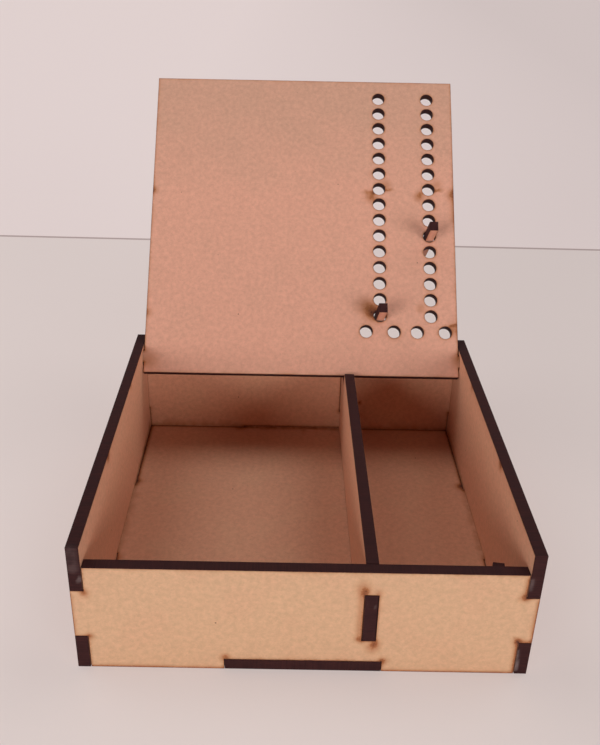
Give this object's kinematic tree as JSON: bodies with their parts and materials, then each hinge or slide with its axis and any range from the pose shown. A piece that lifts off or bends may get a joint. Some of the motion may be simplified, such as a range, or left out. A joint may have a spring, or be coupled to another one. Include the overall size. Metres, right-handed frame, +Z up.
{
  "type": "trick box with scoring lid",
  "caption": "Small laser-cut fibreboard box with a wide card compartment, a narrow peg compartment and a hinged lid drilled as a peg scoring board.",
  "frame": {"origin": "middle of the box's underside, on the surface it stands on", "axes": "+X to the right seen from the front, +Y to the back, where the lid leans, +Z up"},
  "size_m": [0.107, 0.1631, 0.1079],
  "materials": {
    "board": "bare 3 mm fibreboard, satin, with laser-burnt dark edges",
    "lid_board": "bare 3 mm fibreboard, satin, with laser-burnt dark edges and holes",
    "peg_board": "laser-cut sticks of the same board, burnt on two sides and both ends"
  },
  "bodies": {
    "box": {"floor": "board", "front_wall": "board", "back_wall": "board", "left_wall": "board", "right_wall": "board", "divider": "board"},
    "lid": {"lid": "lid_board"},
    "left_peg": {"left_peg": "peg_board"},
    "right_peg": {"right_peg": "peg_board"},
    "spare_peg": {"spare_peg": "peg_board"}
  },
  "joints": [
    {"name": "lid_hinge", "type": "hinge", "parent": "box", "child": "lid", "pos_m": [0, 0.04484, 0.0319], "axis": [-1, 0, 0], "range_deg": [-130.28, 0]},
    {"name": "left_peg_slide", "type": "slide", "parent": "lid", "child": "left_peg", "axis": [0, -0.7629, 0.6465], "range_m": [-0.0125, 0.0155]},
    {"name": "right_peg_slide", "type": "slide", "parent": "lid", "child": "right_peg", "axis": [0, -0.7629, 0.6465], "range_m": [-0.0125, 0.0155]},
    {"name": "spare_peg_lift", "type": "slide", "parent": "box", "child": "spare_peg", "axis": [0, 0, 1], "range_m": [0, 0.035]}
  ]
}
